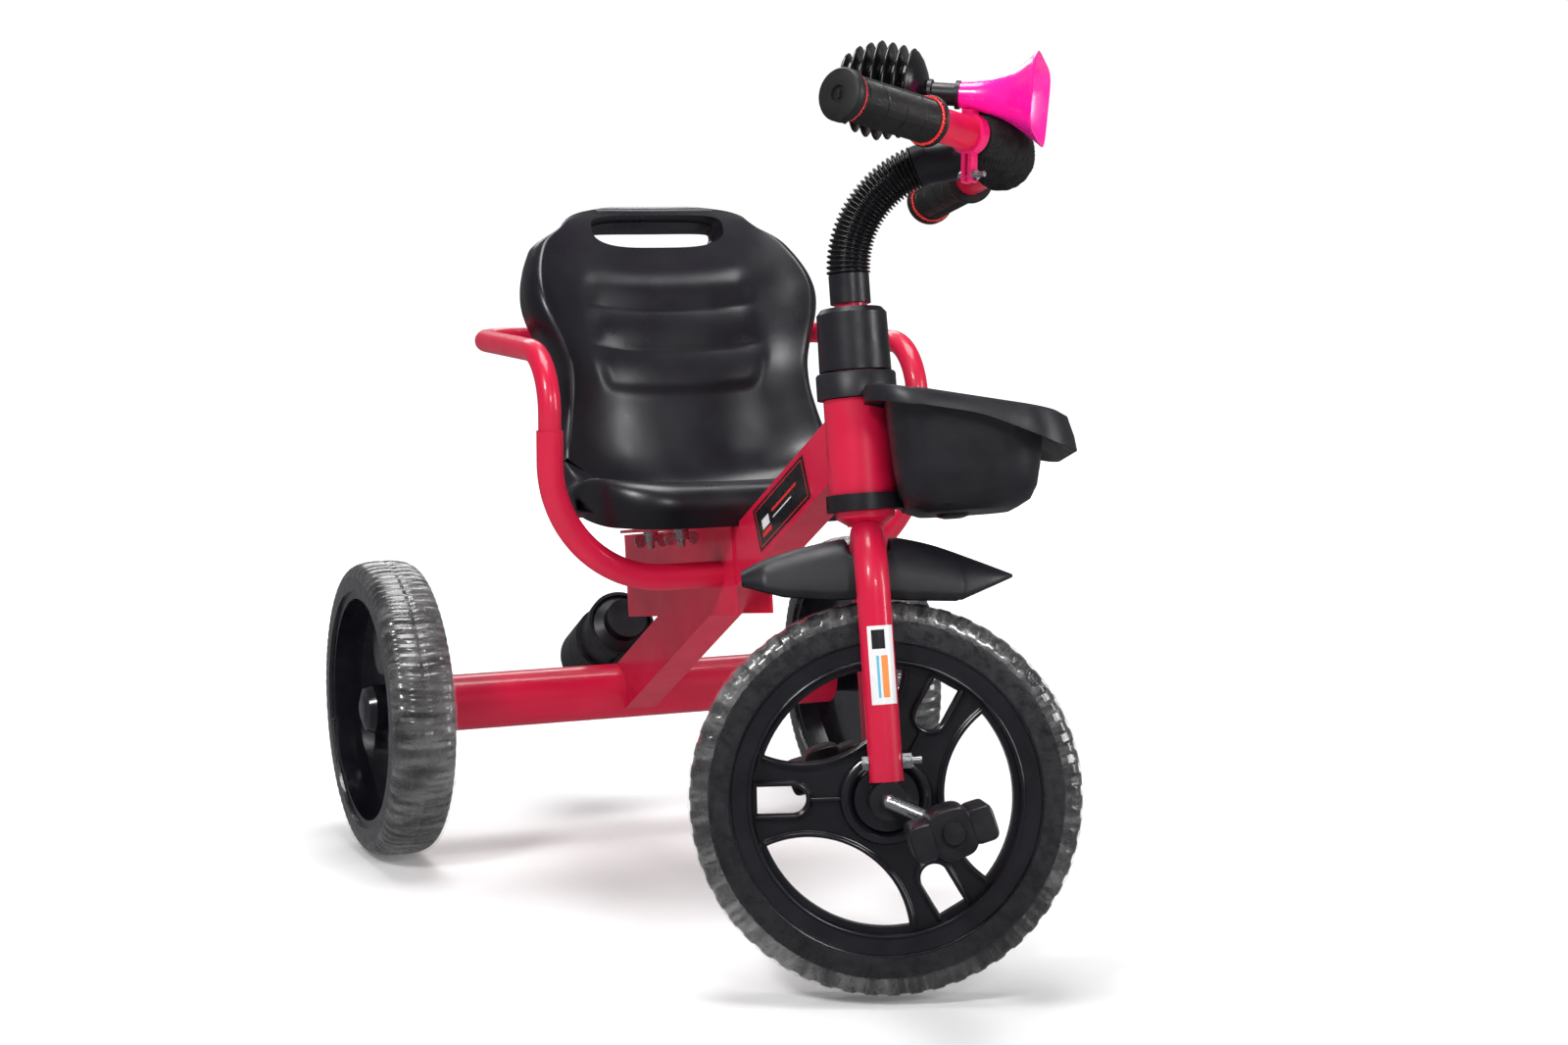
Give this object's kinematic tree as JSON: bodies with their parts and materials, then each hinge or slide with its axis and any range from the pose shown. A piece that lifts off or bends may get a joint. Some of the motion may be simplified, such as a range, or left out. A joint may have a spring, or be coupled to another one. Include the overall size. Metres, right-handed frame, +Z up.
{
  "type": "children's tricycle",
  "caption": "Children's tricycle with a front wheel driven by pedals, a bucket seat inside a tube hoop, a handlebar with a squeeze horn, a front basket and a bottle cage.",
  "frame": {"origin": "on the floor, midway between the rear wheels, under the rear axle", "axes": "+Z up, -Y ahead towards the front wheel, +X to the rider's left"},
  "size_m": [0.526, 0.8615, 0.7134],
  "materials": {
    "red_paint": "gloss",
    "black_plastic": "satin, lightly textured",
    "foam": "ribbed foam",
    "tyre_film": "black foam tyre in clear wrinkled film",
    "red_plastic": "gloss",
    "pink_plastic": "gloss",
    "steel": "zinc plated"
  },
  "bodies": {
    "frame": {"axle_tube": "red_paint", "main_tube": "red_paint", "head_tube": "red_paint", "seat_bracket": "red_paint", "armrest_arm_left": "red_paint", "armrest_arm_right": "red_paint", "armrest_hoop": "red_paint", "seat_shell": "black_plastic", "seat_bolts": "steel", "wing_nuts": "steel", "headset_cup": "black_plastic", "headset_bush": "black_plastic", "rear_axle_rod": "steel", "axle_bushes": "black_plastic", "axle_washers": "steel", "axle_nuts": "steel", "bottle_cage": "black_plastic", "bottle": "black_plastic", "bottle_cap": "black_plastic"},
    "steering": {"fork": "red_paint", "fork_blade_bushes": "black_plastic", "clamp_bolts": "steel", "clamp_nuts": "steel", "fender": "black_plastic", "fender_screw": "steel", "column_sleeve": "red_paint", "stem": "red_paint", "stem_clamp": "steel", "stem_cap": "black_plastic", "hose_cuff_lower": "black_plastic", "bellows_hose": "black_plastic", "hose_cuff_upper": "black_plastic", "handlebar": "red_paint", "foam_pad": "foam", "grip_left": "black_plastic", "grip_right": "black_plastic", "grip_rings": "red_plastic", "horn_bell": "pink_plastic", "horn_neck": "black_plastic", "horn_bellows": "black_plastic", "horn_clamp": "pink_plastic", "horn_screw": "steel", "basket": "black_plastic"},
    "horn_end": {"horn_end_disc": "black_plastic"},
    "front_wheel": {"front_rim": "black_plastic", "front_tyre": "tyre_film", "hub_rings": "black_plastic", "crank_axle": "steel", "drive_pin": "steel", "pedal_clips": "black_plastic"},
    "left_pedal": {"pedal_left": "black_plastic"},
    "right_pedal": {"pedal_right": "black_plastic"},
    "left_rear_wheel": {"rear_rim_left": "black_plastic", "rear_tyre_left": "tyre_film", "hub_cap_left": "black_plastic"},
    "right_rear_wheel": {"rear_rim_right": "black_plastic", "rear_tyre_right": "tyre_film", "hub_cap_right": "black_plastic"}
  },
  "joints": [
    {"name": "steer", "type": "hinge", "parent": "frame", "child": "steering", "pos_m": [0, -0.51444, 0.39581], "axis": [0, 0.1822, 0.9833], "range_deg": [-140, 4]},
    {"name": "front_wheel_spin", "type": "hinge", "parent": "steering", "child": "front_wheel", "pos_m": [0, -0.56, 0.15], "axis": [0.3746, 0.9117, -0.169], "continuous": true},
    {"name": "left_pedal_spin", "type": "hinge", "parent": "front_wheel", "child": "left_pedal", "pos_m": [0.00028, -0.45034, 0.15045], "axis": [0.3746, 0.9117, -0.169], "continuous": true},
    {"name": "right_pedal_spin", "type": "hinge", "parent": "front_wheel", "child": "right_pedal", "pos_m": [-0.00028, -0.66966, 0.14955], "axis": [0.3746, 0.9117, -0.169], "continuous": true},
    {"name": "left_rear_wheel_spin", "type": "hinge", "parent": "frame", "child": "left_rear_wheel", "pos_m": [0.234, 0, 0.135], "axis": [1, 0, 0], "continuous": true},
    {"name": "right_rear_wheel_spin", "type": "hinge", "parent": "frame", "child": "right_rear_wheel", "pos_m": [-0.234, 0, 0.135], "axis": [1, 0, 0], "continuous": true},
    {"name": "horn_squeeze", "type": "slide", "parent": "steering", "child": "horn_end", "axis": [0.8079, -0.5863, -0.059], "range_m": [0, 0.016], "stiffness_N_per_m": 300, "deforming": ["horn_bellows"]}
  ]
}
